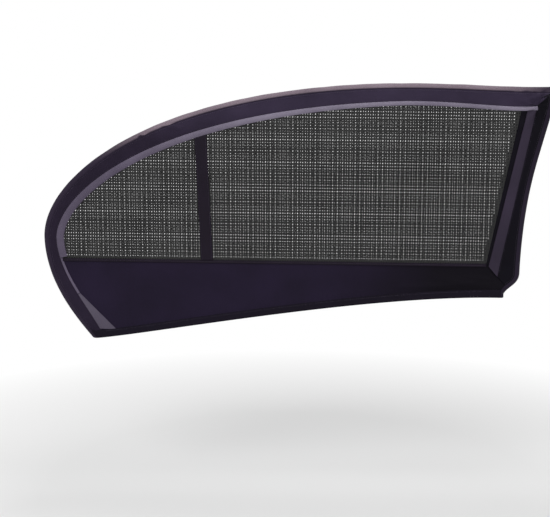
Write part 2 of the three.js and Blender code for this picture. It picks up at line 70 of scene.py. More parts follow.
# Width of the border band along the left end and the top, and how the trim ends in the corner
BAND_CROWN = 0.0335
CORNER_SETBACK = 0.039
CORNER_DROP = 0.037
SIDE_BAND_FOOT = 0.0395
LEFT_BAND = (0.0245, 0.039, 0.026, 0.026)
TOP_BAND = (0.026, 0.030, 0.0445, BAND_CROWN)

# Hem, pocket and seams
HEM_LEFT = (-0.393, 0.0047)
HEM_LEFT_REACH = (0.0985, 0.0064)
HEM_RIGHT = (0.399, 0.0846)
HEM_RIGHT_REACH = (-0.2588, 0.0078)
HEM_WIDTH = 0.015
HEM_RISE = 0.0022
HEM_SINK = 0.0014
HALF_DEPTH = 0.017
FLARE = {CABIN: 0.12, STREET: 0.06}
EDGE_RADIUS = 0.011
HEM_LAP = 0.0015
LAP = 0.002
CLOTH = 0.0007
PEAK_PINCH = 0.6
PEAK_PINCH_RADIUS = 0.046
RUN_OUT = 0.040
RUN_OUT_POINTS = 39
TOP_COLUMNS = 760

# Tapes on the cabin side
TRIM_WIDTHS = (0.0145, 0.008)
TRIM_RISE = 0.0024
TRIM_LIFT = 0.0006
SIDE_TRIM_WIDTHS = (0.0165, 0.021)
SIDE_TRIM_END = 0.095
# Reveals: the gap between the side trim and the net, where the near-black side band shows as painted shade.
REVEALS = (0.0115, 0.0054)
TAPE = 0.0008
STRIP_WIDTH = 0.0045
PATCH_APEX_HEIGHT = 0.090
PATCH_FOOT_WIDTH = 0.034
STRAP_WIDTH = 0.023
STRAP_X = (-0.188, -0.1745)
STRAP_TOP = 0.458
BELT_LEFT = (-0.450, 0.159)
BELT_RIGHT = (0.363, 0.150)
BELT_TAPE_WIDTH = 0.006
SEAM_INSET = 0.0022
STITCH_PITCH = 0.0038
STITCH_LENGTH = 0.0028
STITCH_WIDTH = 0.0006
STITCH_RISE = 0.0003

# Nets: pitch and hole of each, and the size of the holes in even and odd rows
FRONT_PITCH = (0.00475, 0.0054)
FRONT_HOLE = (0.0014, 0.0025)
FRONT_SLANT = 0.35
BACK_PITCH = (0.0031, 0.0031)
BACK_HOLE = (0.0022, 0.0022)
HOLE_SCALES = (0.86, 1.12)
NET_FOOT = 0.120
NET_BELOW_BELT = 0.012

# Picture: its size, where the middle of the shade shows in it, and the lens
PICTURE = (550, 517)
SHOWN_AT = (297, 209.5)
METRES_PER_PIXEL = 0.00191
LENS = 68
SENSOR = 36
ELEVATION = math.radians(5.0)
AIM = (0, -0.022, 0.25)
FLOOR_HEIGHT = -0.30
FLOOR_SIZE = 8

# Soft folds of the cabin side: from, to, half width and height
FOLDS = (
    ((-0.318, 0.407), (-0.281, 0.388), 0.004, 0.0022),
    ((-0.262, 0.414), (-0.214, 0.408), 0.004, 0.0020),
    ((0.456, 0.454), (0.480, 0.478), 0.004, 0.0024),
    ((0.424, 0.459), (0.470, 0.474), 0.004, 0.0020),
    ((0.385, 0.108), (0.255, 0.122), 0.008, 0.0035),
    ((0.382, 0.119), (0.310, 0.127), 0.004, 0.0020),
    ((0.352, 0.111), (0.170, 0.104), 0.006, 0.0025),
)

gusset_low, gusset_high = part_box("edge_gusset_top")
SHIFT = (gusset_low[0] - BELLY[0], 0.0045, gusset_high[2] - CROWN[1])


# Curves

def lerp(a, b, f):
    return a + (b - a) * f


def bezier(start, reach, end, end_reach, count=400):
    """Points and right-hand normals along a cubic curve."""
    p = np.array([start, np.add(start, reach), np.add(end, end_reach), end], float)
    t = np.linspace(0, 1, count)[:, None]
    s = 1 - t
    points = s**3 * p[0] + 3 * s * s * t * p[1] + 3 * s * t * t * p[2] + t**3 * p[3]
    slope = s * s * (p[1] - p[0]) + 2 * s * t * (p[2] - p[1]) + t * t * (p[3] - p[2])
    slope /= np.linalg.norm(slope, axis=1)[:, None]
    return points, np.stack([slope[:, 1], -slope[:, 0]], axis=1)


def cubic(values, count=400):
    """A width that runs along a curve as the curve itself does, from four values."""
    t = np.linspace(0, 1, count)
    s = 1 - t
    a, b, c, d = values
    return (s**3 * a + 3 * s * s * t * b + 3 * s * t * t * c + t**3 * d)[:, None]


def evenly(rows, count):
    """Resamples rows of equal length to even steps along the first of them."""
    step = np.linalg.norm(np.diff(rows[0], axis=0), axis=1)
    length = np.concatenate([[0], np.cumsum(step)])
    wanted = np.linspace(0, length[-1], count)
    return [np.stack([np.interp(wanted, length, row[:, k]) for k in range(row.shape[1])], 1) for row in rows]


hem_line, _ = bezier(HEM_LEFT, HEM_LEFT_REACH, HEM_RIGHT, HEM_RIGHT_REACH)
left, left_in = bezier(HEEL, HEEL_REACH, BELLY, BELLY_REACH_DOWN)
top, top_in = bezier(BELLY, BELLY_REACH_UP, CROWN, CROWN_REACH_LEFT)
crown, crown_in = bezier(CROWN, CROWN_REACH_RIGHT, PEAK, PEAK_REACH_LEFT)
side, side_in = bezier(PEAK, PEAK_REACH_DOWN, TOE, TOE_REACH_UP)
toe, toe_in = bezier(TOE, TOE_REACH_DOWN, CUFF, CUFF_REACH_UP)
trim_corner = np.array([PEAK[0] - CORNER_SETBACK, PEAK[1] - CORNER_DROP])
trim_crown, trim_crown_in = bezier(
    (CROWN[0], CROWN[1] - BAND_CROWN), CROWN_REACH_RIGHT, trim_corner, PEAK_REACH_LEFT)


def hem_height(x):
    return np.interp(x, hem_line[:, 0], hem_line[:, 1])


def belt_height(x):
    return lerp(BELT_LEFT[1], BELT_RIGHT[1], (x - BELT_LEFT[0]) / (BELT_RIGHT[0] - BELT_LEFT[0]))


def side_fraction(z):
    return (trim_corner[1] - z) / (trim_corner[1] - BELT_RIGHT[1])


def side_trim_x(z):
    return lerp(trim_corner[0], TOE[0] - SIDE_BAND_FOOT, side_fraction(z))


def window_edge_x(z):
    f = side_fraction(z)
    return side_trim_x(z) - lerp(*SIDE_TRIM_WIDTHS, f) - lerp(*REVEALS, f)


def trim_width(x):
    return lerp(*TRIM_WIDTHS, np.clip((x - BELLY[0]) / (CROWN[0] - BELLY[0]), 0, 1))


# The run of the border: outer point, inward direction, outer edge of the trim and its direction.
# It goes on straight past the heel, so that its rows can be cut along the hem.
outer, inward, inner, trim_in = evenly([
    np.concatenate([left, top[1:], crown[1:]]),
    np.concatenate([left_in, top_in[1:], crown_in[1:]]),
    np.concatenate([
        left + left_in * cubic(LEFT_BAND),
        (top + top_in * cubic(TOP_BAND))[1:],
        trim_crown[1:],
    ]),
    np.concatenate([left_in, top_in[1:], trim_crown_in[1:]]),
], 1400)
before = np.linspace(-RUN_OUT, 0, RUN_OUT_POINTS + 1)[:-1, None] * np.array([[-left_in[0, 1], left_in[0, 0]]])
outer_run = np.concatenate([outer[0] + before, outer])
inward_run = np.concatenate([np.repeat(inward[:1], RUN_OUT_POINTS, 0), inward])
inner_run = np.concatenate([inner[0] + before, inner])
side_outer, side_inward = evenly([
    np.concatenate([side, toe[1:], [[CUFF[0], CUFF[1] - RUN_OUT]]]),
    np.concatenate([side_in, toe_in[1:], toe_in[-1:]]),
], 600)

mitre = crown_in[-1] + side_in[0]
mitre /= 1 + crown_in[-1] @ side_in[0]
mitre_normal = np.array([mitre[1], -mitre[0]]) / np.linalg.norm(mitre)
window_foot = np.array([window_edge_x(BELT_RIGHT[1]), BELT_RIGHT[1]])
diagonal = np.array([CUFF[0] + 0.007, CUFF[1] + 0.008]) - window_foot
diagonal_normal = np.array([-diagonal[1], diagonal[0]]) / np.linalg.norm(diagonal)


def above_hem(p):
    return p[:, 1] - hem_height(p[:, 0])


def before_mitre(p):
    """Above zero on the top's side of the mitre in the pointed corner."""
    return (p - PEAK) @ mitre_normal


def after_mitre(p):
    return (PEAK - p) @ mitre_normal


def above_diagonal(p):
    """Above zero on the side's part of the seam from the foot of the window to the cuff."""
    return (p - window_foot) @ diagonal_normal


# Depth of the sock

def ripples(x, z, seed, wavelength, amplitude, direction=0.0, spread=0.6):
    """Small irregular waves of the cloth, with their crests near one direction."""
    draw = np.random.RandomState(seed)
    total = np.zeros(np.shape(x))
    for _ in range(6):
        angle = math.radians(direction) + spread * (draw.rand() - 0.5)
        k = 2 * math.pi / (wavelength * (0.7 + 0.7 * draw.rand()))
        total = total + np.sin(k * (x * math.sin(angle) + z * math.cos(angle)) + 6.28 * draw.rand())
    return amplitude * total / 2.5


def fold_height(x, z):
    """How far the soft folds stand out: full in the middle of each, and nothing at its ends."""
    total = np.zeros(np.shape(x))
    for start, end, half_width, height in FOLDS:
        run = np.subtract(end, start)
        dx = x - start[0]
        dz = z - start[1]
        f = np.clip((dx * run[0] + dz * run[1]) / (run @ run), 0, 1)
        across = (dx * run[1] - dz * run[0]) / np.linalg.norm(run) / half_width
        total = total + height * np.sin(math.pi * f) * np.exp(-across * across)
    return total


def gathers(x, z):
    """Folds that fan out from the end of the trim to the pointed corner."""
    dx = x - trim_corner[0]
    dz = z - trim_corner[1]
    reach = np.hypot(dx, dz)
    window = np.clip(reach / 0.012, 0, 1) * np.clip((0.075 - reach) / 0.030, 0, 1)
    angle = np.arctan2(dz, dx)
    return 0.0011 * window * np.sin(9 * angle + 60 * reach)


def wall_depth(face, x, z):
    """Depth of one wall of the sock: pinched at the pointed corner, and flared below the belt seam."""
    near = 1 - np.minimum(1, np.hypot(x - PEAK[0], z - PEAK[1]) / PEAK_PINCH_RADIUS)
    pinch = PEAK_PINCH * near * near * (3 - 2 * near)
    flare = FLARE[face] * np.maximum(0, belt_height(x) - LAP - z)
    fold = fold_height(x, z) + gathers(x, z) if face == CABIN else 0
    return HALF_DEPTH * (1 - pinch) + flare + fold


def on_wall(face, p, lift=0.0):
    """World points of places in the window plane, on the face of one wall."""
    x = p[..., 0]
    z = p[..., 1]
    y = face * (wall_depth(face, x, z) + lift)
    return np.stack([x + SHIFT[0], y + SHIFT[1], z + SHIFT[2]], axis=-1)


def trimmed(rows, starts, ends, count):
    """A grid from rows of places, each cut to the stretch where both of its tests are above zero."""
    index = np.arange(len(rows[0]), dtype=float)
    grid = []
    for row, start, end in zip(rows, starts, ends):
        first = 0.0
        last = index[-1]
        low = np.nonzero(start > 0)[0]
        high = np.nonzero(end > 0)[0]
        if low[0] > 0:
            a = low[0] - 1
            first = a + start[a] / (start[a] - start[a + 1])
        if high[-1] < last:
            b = high[-1]
            last = b + end[b] / (end[b] - end[b + 1])
        at = np.linspace(first, last, count)
        grid.append(np.stack([np.interp(at, index, row[:, 0]), np.interp(at, index, row[:, 1])], axis=1))
    return np.array(grid)


# Meshes

def make_mesh(name, points, faces, cloth_coordinates=None):
    mesh = bpy.data.meshes.new(name)
    mesh.from_pydata(np.asarray(points, float).reshape(-1, 3).tolist(), [], faces)
    if cloth_coordinates is not None:
        layer = mesh.uv_layers.new(name="cloth")
        loops = np.empty(len(mesh.loops), int)
        mesh.loops.foreach_get("vertex_index", loops)
        layer.data.foreach_set("uv", cloth_coordinates.reshape(-1, 2)[loops].ravel())
    mesh.shade_smooth()
    obj = bpy.data.objects.new(name, mesh)
    bpy.context.scene.collection.objects.link(obj)
    return obj


def cloth(name, grid, outside, thickness=CLOTH, ring=False):
    """A sheet over rows and columns of world points. Outside is the direction that its middle faces."""
    rows, columns = grid.shape[:2]
    middle = grid[rows // 2, columns // 2]
    a = grid[rows // 2, columns // 2 - 1] - middle
    b = grid[rows // 2 - 1, columns // 2] - middle
    flip = np.cross(a, b) @ np.asarray(outside, float) < 0
    faces = []
    for r in range(rows if ring else rows - 1):
        for c in range(columns - 1):
            below = ((r + 1) % rows) * columns
            quad = [r * columns + c, r * columns + c + 1, below + c + 1, below + c]
            faces.append(quad[::-1] if flip else quad)
    u = np.concatenate([[0], np.cumsum(np.linalg.norm(np.diff(grid[rows // 2], axis=0), axis=1))])
    v = np.concatenate([[0], np.cumsum(np.linalg.norm(np.diff(grid[:, columns // 2], axis=0), axis=1))])
    coordinates = np.stack(np.broadcast_arrays(u[None, :], v[:, None]), axis=-1)
    obj = make_mesh(name, grid, faces, coordinates)
    if thickness:
        solid = obj.modifiers.new("thickness", "SOLIDIFY")
        solid.thickness = thickness
        solid.offset = -1
    return obj


def dress(obj, slot, material, *nodes):
    """Gives a mesh its cloth, hangs it on the root body, and lets it stand for solids of the CAD, which it
    hides. The slot is not used.
    """
    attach(obj, "root")
    if nodes:
        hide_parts(*nodes)
    obj.data.materials.clear()
    obj.data.materials.append(material)
    return obj


# Materials

def shader(name):
    material = bpy.data.materials.new(name)
    material.use_nodes = True
    tree = material.node_tree
    return material, tree, tree.nodes["Principled BSDF"]


def rgb(hex_color):
    parts = [int(hex_color[i:i + 2], 16) / 255 for i in (0, 2, 4)]
    linear = [c / 12.92 if c <= 0.04045 else ((c + 0.055) / 1.055) ** 2.4 for c in parts]
    return (*linear, 1)


def noise(tree, coordinates, scale, detail=3, stretch=(1, 1, 1)):
    mapping = tree.nodes.new("ShaderNodeMapping")
    mapping.inputs["Scale"].default_value = stretch
    texture = tree.nodes.new("ShaderNodeTexNoise")
    texture.inputs["Scale"].default_value = scale
    texture.inputs["Detail"].default_value = detail
    tree.links.new(coordinates, mapping.inputs["Vector"])
    tree.links.new(mapping.outputs["Vector"], texture.inputs["Vector"])
    return texture.outputs["Fac"]


def waves(tree, coordinates, period, direction, distortion=0.0):
    texture = tree.nodes.new("ShaderNodeTexWave")
    texture.bands_direction = direction
    texture.inputs["Scale"].default_value = 2 * math.pi / (20 * period)
    texture.inputs["Distortion"].default_value = distortion
    tree.links.new(coordinates, texture.inputs["Vector"])
    return texture.outputs["Fac"]


def math_node(tree, operation, a, b):
    node = tree.nodes.new("ShaderNodeMath")
    node.operation = operation
    for socket, value in zip(node.inputs, (a, b)):
        if isinstance(value, (int, float)):
            socket.default_value = value
        else:
            tree.links.new(value, socket)
    return node.outputs[0]


def ramp(tree, factor, stops):
    node = tree.nodes.new("ShaderNodeValToRGB")
    elements = node.color_ramp.elements
    while len(elements) < len(stops):
        elements.new(0.5)
    for element, (place, color) in zip(elements, stops):
        element.position = place
        element.color = color
    tree.links.new(factor, node.inputs["Fac"])
    return node.outputs["Color"]


def span(tree, value, low, high):
    """From 0 at one value to 1 at the other, smoothly."""
    node = tree.nodes.new("ShaderNodeMapRange")
    node.interpolation_type = "SMOOTHSTEP"
    node.inputs["From Min"].default_value = low
    node.inputs["From Max"].default_value = high
    tree.links.new(value, node.inputs["Value"])
    return node.outputs["Result"]


def mixed(tree, factor, first, second):
    node = tree.nodes.new("ShaderNodeMix")
    node.data_type = "RGBA"
    tree.links.new(factor, node.inputs[0])
    tree.links.new(first, node.inputs[6])
    tree.links.new(second, node.inputs[7])
    return node.outputs[2]


def place_factor(tree, axis, low, high):
    """How far along one axis of the object a point is, between two places in metres."""
    split = tree.nodes.new("ShaderNodeSeparateXYZ")
    tree.links.new(tree.nodes.new("ShaderNodeTexCoord").outputs["Object"], split.inputs[0])
    return span(tree, split.outputs[axis], low, high)


def upward_factor(tree, low, high):
    split = tree.nodes.new("ShaderNodeSeparateXYZ")
    tree.links.new(tree.nodes.new("ShaderNodeNewGeometry").outputs["Normal"], split.inputs[0])
    return span(tree, split.outputs["Z"], low, high)


def fabric(name, tones, other_tones=None, shift=None,
           pitch=0.0009, roughness=0.85, sheen=0.08, weave="knit"):
    """Cloth with its weave as bump and colour, and a slow drift of tone between dark and light.
    Shift gives where the cloth goes over to the other tones, which are painted light or painted shade, one per
    cloth."""
    material, tree, bsdf = shader(name)
    uv = tree.nodes.new("ShaderNodeTexCoord").outputs["UV"]
    where = tree.nodes.new("ShaderNodeTexCoord").outputs["Object"]
    knit = weave == "knit"
    warp = waves(tree, uv, pitch, "X", 0.4)
    weft = waves(tree, uv, pitch * (1.4 if knit else 1.0), "DIAGONAL" if knit else "Y", 0.4)
    yarn = math_node(tree, "MULTIPLY", warp, weft)
    drift = noise(tree, where, 14, 4)
    fuzz = noise(tree, uv, 900, 2)
    tone = math_node(tree, "MULTIPLY", yarn, 0.35)
    tone = math_node(tree, "ADD", tone, math_node(tree, "MULTIPLY", drift, 0.55))
    tone = math_node(tree, "ADD", tone, math_node(tree, "MULTIPLY", fuzz, 0.15))
    color = ramp(tree, tone, [(0.15, rgb(tones[0])), (0.75, rgb(tones[1]))])
    if other_tones:
        other = ramp(tree, tone, [(0.15, rgb(other_tones[0])), (0.75, rgb(other_tones[1]))])
        color = mixed(tree, shift(tree), color, other)
    tree.links.new(color, bsdf.inputs["Base Color"])
    bump = tree.nodes.new("ShaderNodeBump")
    bump.inputs["Strength"].default_value = 0.5
    bump.inputs["Distance"].default_value = 0.0002
    relief = math_node(tree, "ADD", yarn, math_node(tree, "MULTIPLY", fuzz, 0.6))
    tree.links.new(relief, bump.inputs["Height"])
    tree.links.new(bump.outputs["Normal"], bsdf.inputs["Normal"])
    bsdf.inputs["Roughness"].default_value = roughness
    bsdf.inputs["Sheen Weight"].default_value = sheen
    bsdf.inputs["Sheen Roughness"].default_value = 0.5
    bsdf.inputs["Sheen Tint"].default_value = rgb(tones[1])
    bsdf.inputs["Specular IOR Level"].default_value = 0.15
    return material


# Cloths

# Painted light: the border band lighter higher up, where the light from above grazes it.
def painted_light_higher_up(tree):
    return place_factor(tree, "Z", 0.36, 0.45)


# Painted light: the trim tape lighter higher up, where it faces the light from above.
def painted_light_high_on_trim(tree):
    return place_factor(tree, "Z", 0.33, 0.44)


# Painted shade: the skirt darker towards its right end, which lies in shade.
def painted_shade_towards_right(tree):
    return place_factor(tree, "X", 0.05, 0.30)


def painted_highlight_ridge(tree):
    """Painted highlight: the top of the rounded edge paler where it faces up, as lit from above, from the left
    curve to the gathered corner.
    """
    ridge = math_node(tree, "MULTIPLY", upward_factor(tree, 0.12, 0.42), place_factor(tree, "X", -0.40, -0.26))
    return math_node(tree, "MULTIPLY", ridge, place_factor(tree, "X", 0.50, 0.36))


net_cloth = fabric("window_mesh", ("1f1f20", "3b3b3b"), pitch=0.0011, sheen=0.05)
# The lighter second tones of the border band are painted light on its upper part.
border_cloth = fabric("border_cloth", ("140e1b", "2b2235"), ("241d2d", "3b3247"), painted_light_higher_up)
# Painted shade: a near-black copy of the border cloth for the right side band, which lies in shade.
painted_shade_side_cloth = fabric("painted_shade_side_cloth", ("010004", "060210"), sheen=0.03)
street_cloth = fabric("street_cloth", ("18131f", "2a2333"))
# The pale second tones of the rounded edge are a painted highlight on its top.
edge_cloth = fabric("edge_cloth", ("1a1421", "33293c"), ("5c4f59", "8a7c86"), painted_highlight_ridge,
                    roughness=0.8, sheen=0.15)
side_edge_cloth = fabric("side_edge_cloth", ("150f1c", "2a2133"), roughness=0.8)
# The lighter second tones of the trim are painted light on its upper run.
trim_cloth = fabric("trim_tape", ("3b3443", "6c6377"), ("5a5263", "8e8798"), painted_light_high_on_trim,
                    pitch=0.0012, roughness=0.6, sheen=0.2, weave="plain")
# Painted shade: a darker copy of the trim tape for the side trim, which lies in shade.
painted_shade_side_trim_cloth = fabric("side_trim_tape", ("1f1926", "362d3f"),
                         pitch=0.0012, roughness=0.6, sheen=0.1, weave="plain")
# The near-black second tones of the skirt are painted shade towards its right end.
skirt_cloth = fabric("skirt_cloth", ("120c1b", "221930"), ("030106", "08040f"), painted_shade_towards_right)
hem_cloth = fabric("hem_cloth", ("0a060f", "161020"))
strap_cloth = fabric("strap_tape", ("0d0711", "1b1222"), pitch=0.0013, roughness=0.7, weave="plain")
patch_cloth = fabric("patch_cloth", ("3f3947", "625b6a"), weave="plain")
elastic_cloth = fabric("elastic", ("110e15", "231f29"), pitch=0.0015, weave="plain")


# Mesh window

def window_outline():
    """The edge of the net: over the top from the left end of the belt seam, then down the right side."""
    line = (inner + trim_in * LAP)[inner[:, 1] > BELT_LEFT[1] - NET_BELOW_BELT]
    line = line[line[:, 0] < window_edge_x(line[:, 1])]
    heights = np.linspace(line[-1, 1], line[0, 1], 60)
    return np.concatenate([line, np.stack([window_edge_x(heights), heights], axis=1)])


def is_inside(outline, p):
    """Whether places lie within a closed outline, by the count of edges that a ray from each crosses."""
    a = outline
    b = np.roll(outline, -1, axis=0)
    x, z = p[:, 0, None], p[:, 1, None]
    crosses = (a[:, 1] > z) != (b[:, 1] > z)
    at = a[:, 0] + (z - a[:, 1]) / np.where(b[:, 1] == a[:, 1], 1, b[:, 1] - a[:, 1]) * (b[:, 0] - a[:, 0])
    return (crosses & (x < at)).sum(axis=1) % 2 == 1


def pulled_in(outline, points):
    """Moves the places that lie outside the outline to its nearest point."""
    outside = np.nonzero(~is_inside(outline, points))[0]
    for chunk in np.array_split(outside, max(1, len(outside) // 2000)):
        apart = np.linalg.norm(points[chunk, None] - outline[None], axis=2)
        points[chunk] = outline[apart.argmin(axis=1)]
    return points


def hole_rim(hole, slant, corners):
    """Corners of one slanted hole about its middle."""
    turn = 2 * math.pi * (np.arange(corners) / corners + 0.625)
    rounding = np.maximum(np.abs(np.cos(turn)), np.abs(np.sin(turn))) ** 0.5
    x = np.cos(turn) / rounding * hole[0] / 2
    z = np.sin(turn) / rounding * hole[1] / 2
    return np.stack([x + slant * z, z], axis=1)


def cell_border(parts, width):
    """Steps in the numbering of the lattice from the first knot of a cell round its border."""
    ticks = range(parts)
    around = [*((k, 0) for k in ticks), *((parts, k) for k in ticks),
              *((parts - k, parts) for k in ticks), *((0, parts - k) for k in ticks)]
    return np.array([a * width + b for a, b in around])


def net(name, face, outline, pitch, hole, slant, relief, corners):
    """A knitted net: one slanted hole to a cell, with raised threads between the holes."""
    parts = corners // 4
    columns = int((PEAK[0] - BELLY[0]) / pitch[0]) + 1
    rows = int((CROWN[1] - NET_FOOT) / pitch[1]) + 1
    x, up = np.meshgrid(np.arange(parts * columns + 1) * pitch[0] / parts + BELLY[0],
                        np.arange(parts * rows + 1) * pitch[1] / parts - LAP, indexing="ij")
    lattice = np.stack([x, belt_height(x) + up], axis=-1).reshape(-1, 2)
    knots = np.add.outer(np.arange(x.shape[0]), np.arange(x.shape[1])).ravel() % parts == 0
    inside = is_inside(outline, lattice)
    rim = hole_rim(hole, slant, corners)
    border = cell_border(parts, x.shape[1])
    points = [lattice]
    lifts = [np.where(knots, relief, relief * 0.4)]
    faces = []
    count = len(lattice)
    for i in range(columns):
        for j in range(rows):
            ring = parts * (i * x.shape[1] + j) + border
            if not inside[ring].any():
                continue
            points.append(lattice[ring].mean(axis=0) + rim * HOLE_SCALES[j % 2])
            lifts.append(np.full(corners, -relief * 0.4))
            for k in range(corners):
                n = (k + 1) % corners
                faces.append([ring[k], ring[n], count + n, count + k])
            count += corners
    faces = np.array(faces)
    used = np.zeros(count, bool)
    used[faces.ravel()] = True
    faces = (np.cumsum(used) - 1)[faces]
    if face == STREET:
        faces = faces[:, ::-1]
    places = pulled_in(outline, np.concatenate(points))[used]
    lift = np.concatenate(lifts)[used] + ripples(*places.T, 3, 0.11, 0.0004)
    return make_mesh(name, on_wall(face, places, lift), faces.tolist(), places)


def make_nets():
    outline = window_outline()
    front = dress(net("front_net", CABIN, outline, FRONT_PITCH, FRONT_HOLE, FRONT_SLANT, 0.0004, 8),
                  "window_mesh", net_cloth, "front_mesh_panel")
    back = dress(net("back_net", STREET, outline, BACK_PITCH, BACK_HOLE, 0.0, 0.0003, 4),
                 "window_mesh", net_cloth, "back_mesh_panel")
    return front


# Border bands

def border_band(name, face):
    """The band from the rounded edge to just under the trim, between the hem and the mitre."""
    seam = outer_run + inward_run * EDGE_RADIUS
    under = inner_run + np.concatenate([np.repeat(trim_in[:1], RUN_OUT_POINTS, 0), trim_in]) * LAP
    across = np.linspace(0, 1, 13)
    rows = [lerp(seam, under, f) for f in across]
    starts = [above_hem(row) - HEM_WIDTH + HEM_LAP for row in rows]
    grid = trimmed(rows, starts, [before_mitre(row) for row in rows], TOP_COLUMNS)
    waves_up = 0.0004 + ripples(grid[..., 0], grid[..., 1], 11, 0.045, 0.00035, 0, 3.0)
    lift = np.sin(math.pi * across)[:, None] * waves_up
    return cloth(name, on_wall(face, grid, lift), (0, face, 0))


def make_border():
    front = dress(border_band("front_band", CABIN), "border_cloth", border_cloth, "front_border_band")
    back = dress(border_band("back_band", STREET), "street_cloth", street_cloth, "back_border_band")


def side_band(name, face, columns=220):
    """The band on the right, from the rounded edge to the mesh window, between the mitre and the diagonal."""
    seam = side_outer + side_inward * EDGE_RADIUS
    corner = np.array(PEAK) + mitre * EDGE_RADIUS
    kept = (after_mitre(seam) > 0) & (above_diagonal(seam) > 0)
    outer_edge, = evenly([np.concatenate([[corner], seam[kept]])], columns)
    heights = np.linspace(trim_corner[1] - LAP, BELT_RIGHT[1], columns)
    inner_edge = np.stack([window_edge_x(heights), heights], axis=1)
    across = np.linspace(0, 1, 15)
    grid = np.array([lerp(outer_edge, inner_edge, f) for f in across])
    waves_up = 0.0003 + ripples(grid[..., 0], grid[..., 1], 17, 0.030, 0.0005, 20, 1.2)
    lift = np.sin(math.pi * across)[:, None] ** 0.7 * waves_up
    return cloth(name, on_wall(face, grid, lift), (0, face, 0))


def make_side_bands():
    front = dress(side_band("front_side", CABIN), "border_cloth", painted_shade_side_cloth, "front_side_band")
    back = dress(side_band("back_side", STREET), "street_cloth", street_cloth, "back_side_band")


# Rounded edge

def gusset_profile():
    """Inset and depth across the rounded edge, from the cabin side to the street side."""
    straight = HALF_DEPTH - EDGE_RADIUS
    turn = np.linspace(0, math.pi / 2, 9)
    cabin = [(EDGE_RADIUS * (1 - math.sin(a)), -(straight + EDGE_RADIUS * math.cos(a))) for a in turn]
    middle = [(0.0, d) for d in np.linspace(-straight, straight, 7)[1:-1]]
    return cabin + middle + [(inset, -d) for inset, d in reversed(cabin)]


def gusset(name, run, inward_direction, start_test, end_test, columns):
    profile = gusset_profile()
    rows = [run + inward_direction * inset for inset, _ in profile]
    grid = trimmed(rows, [start_test(row) for row in rows], [end_test(row) for row in rows], columns)
    depth = np.array([d for _, d in profile])[:, None] / HALF_DEPTH
    x, z = grid[..., 0], grid[..., 1]
    y = np.where(depth < 0, depth * wall_depth(CABIN, x, z), depth * wall_depth(STREET, x, z))
    push = ripples(x, z + depth * 0.02, 23, 0.05, 0.0003, 40, 3.0) * (1 - np.abs(depth))
    middle = inward_direction[len(run) // 2]
    points = np.stack([x + SHIFT[0], y + SHIFT[1], z + SHIFT[2] + push], axis=-1)
    return cloth(name, points, (-middle[0], 0, -middle[1]))


def make_edges():
    top_edge = dress(gusset("top_edge", outer_run, inward_run, above_hem, before_mitre, TOP_COLUMNS),
                     "edge_cloth", edge_cloth, "edge_gusset_top")
    side_edge = dress(gusset("side_edge", side_outer, side_inward, after_mitre, above_hem, 240),
                      "edge_cloth", side_edge_cloth, "edge_gusset_side")


# Half-round tapes

def rounded_tape(name, edge, direction, width, end_test):
    """A tape that rises to a round back between its two edges."""
    f = np.linspace(0, 1, 11)
    heights = TAPE + (TRIM_RISE - TAPE) * np.sin(math.pi * f) ** 0.8
    profile = [(0.0, 0.0), *zip(f, heights), (1.0, 0.0)]
    rows = [edge + direction * (width * g)[:, None] for g, _ in profile]
    grid = trimmed(rows, [np.ones(len(edge))] * len(rows), [end_test(row) for row in rows], len(edge))
    lifts = np.array([TRIM_LIFT + h for _, h in profile])[:, None]
    return cloth(name, on_wall(CABIN, grid, lifts), (0, -1, 0), thickness=0, ring=True)


def trim_lines():
    """The outer edge of the trim above the belt seam, the direction across it, and its width."""
    above = inner[:, 1] > belt_height(inner[:, 0])
    edge, direction, outer_line = evenly([inner[above], trim_in[above], outer[above]], 640)
    return edge, direction, trim_width(outer_line[:, 0])


def make_trims():
    trim = dress(rounded_tape("trim", *trim_lines(), lambda row: np.ones(len(row))),
                 "trim_tape", trim_cloth, "trim_tape")
    heights = np.linspace(trim_corner[1] - TRIM_WIDTHS[1], SIDE_TRIM_END, 220)
    edge = np.stack([side_trim_x(heights), heights], axis=1)
    width = lerp(*SIDE_TRIM_WIDTHS, side_fraction(heights))
    side_trim = dress(rounded_tape("side_trim", edge, np.tile([-1.0, 0.0], (220, 1)), width, above_diagonal),
                      "side_trim_tape", painted_shade_side_trim_cloth, "side_trim_tape")


# Skirt and hem

def skirt(name, face, row_count, column_count):
    """Plain cloth from the belt seam into the hem. Its ends are where each row meets the strip and the side."""
    v = np.linspace(0, 1, row_count)
    left_x = np.full(row_count, HEEL[0] - 0.034)
    right_x = np.full(row_count, HEM_RIGHT[0] - 0.019)
    strip = inner_run + inward_run * LAP
    strip = strip[strip[:, 1] < BELT_LEFT[1] + 0.011]
    seam = side_outer + side_inward * EDGE_RADIUS
    seam = seam[seam[:, 1] < BELT_RIGHT[1]][::-1]

    def height(x, f):
        return lerp(belt_height(x) - LAP, hem_height(x) + HEM_WIDTH - HEM_LAP, f)

    for _ in range(25):
        left_x = np.interp(height(left_x, v), strip[:, 1], strip[:, 0])
        z = height(right_x, v)
        slanted = window_foot[0] + (z - window_foot[1]) * diagonal[0] / diagonal[1]
        right_x = np.minimum(slanted, np.interp(z, seam[:, 1], seam[:, 0]))
    x = lerp(left_x[:, None], right_x[:, None], np.linspace(0, 1, column_count)[None, :])
    z = height(x, v[:, None])
    grid = np.stack([x, z], axis=-1)
    pleats = ripples(x, z, 31, 0.012, 0.0003, 90, 0.5) * np.clip((v[:, None] - 0.7) / 0.3, 0, 1)
    lift = pleats + np.sin(math.pi * v)[:, None] * ripples(x, z, 29, 0.09, 0.0005, 15, 0.8)
    return cloth(name, on_wall(face, grid, lift if face == CABIN else lift * 0.5), (0, face, 0))


def make_skirts():
    front = dress(skirt("front_plain", CABIN, 60, 420), "skirt_cloth", skirt_cloth, "front_skirt")
    back = dress(skirt("back_plain", STREET, 30, 160), "skirt_cloth", skirt_cloth, "back_skirt")
    return front


def squared(wave):
    """A sine or cosine made fuller, so that a circle of it becomes a rounded square."""
    return np.sign(wave) * np.abs(wave) ** 0.7


